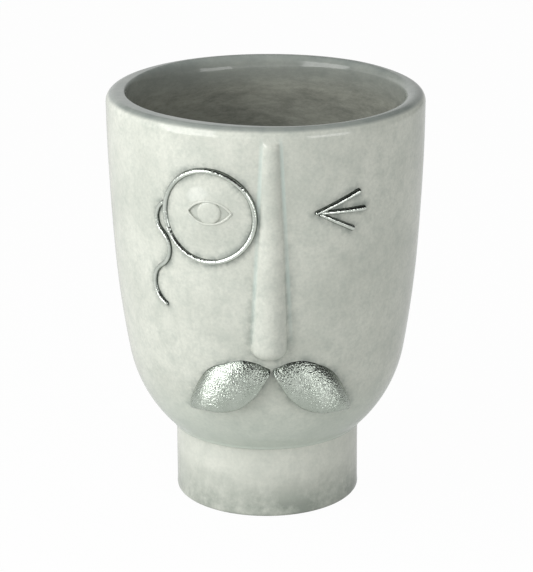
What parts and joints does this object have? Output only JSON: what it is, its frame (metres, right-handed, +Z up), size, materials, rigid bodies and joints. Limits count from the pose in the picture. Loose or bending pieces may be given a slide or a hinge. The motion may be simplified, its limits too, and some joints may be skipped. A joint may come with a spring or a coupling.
{
  "type": "head planter",
  "caption": "Free-standing head-shaped planter: a thick glazed pot on a ring foot, with a winking face, a monocle and a moustache in low relief, and a drain plug.",
  "frame": {"origin": "on the surface the planter stands on, under the centre of its ring foot", "axes": "+Z up along the pot's axis; the face looks along -Y, so +X is to the right as one looks at the face"},
  "size_m": [0.1318, 0.1335, 0.175],
  "materials": {
    "sage_glaze": "glossy pale sage grey glaze with soft clouding, over stoneware",
    "silver_lustre": "satin silver lustre, brushed on by hand over the glazed relief",
    "plug_rubber": "matt moulded rubber"
  },
  "bodies": {
    "planter": {"bowl": "sage_glaze", "pedestal_foot": "sage_glaze", "nose_ridge": "sage_glaze", "monocle_ring": "silver_lustre", "monocle_cord": "silver_lustre", "monocle_lens": "sage_glaze", "upper_eyelid": "sage_glaze", "lower_eyelid": "sage_glaze", "iris": "sage_glaze", "wink_lash_upper": "silver_lustre", "wink_lash_middle": "silver_lustre", "wink_lash_lower": "silver_lustre", "moustache_right": "silver_lustre", "moustache_left": "silver_lustre"},
    "drain_plug": {"drain_plug": "plug_rubber"}
  },
  "joints": [
    {"name": "drain_plug_lift", "type": "slide", "parent": "planter", "child": "drain_plug", "axis": [0, 0, 1], "range_m": [0, 0.16]}
  ]
}
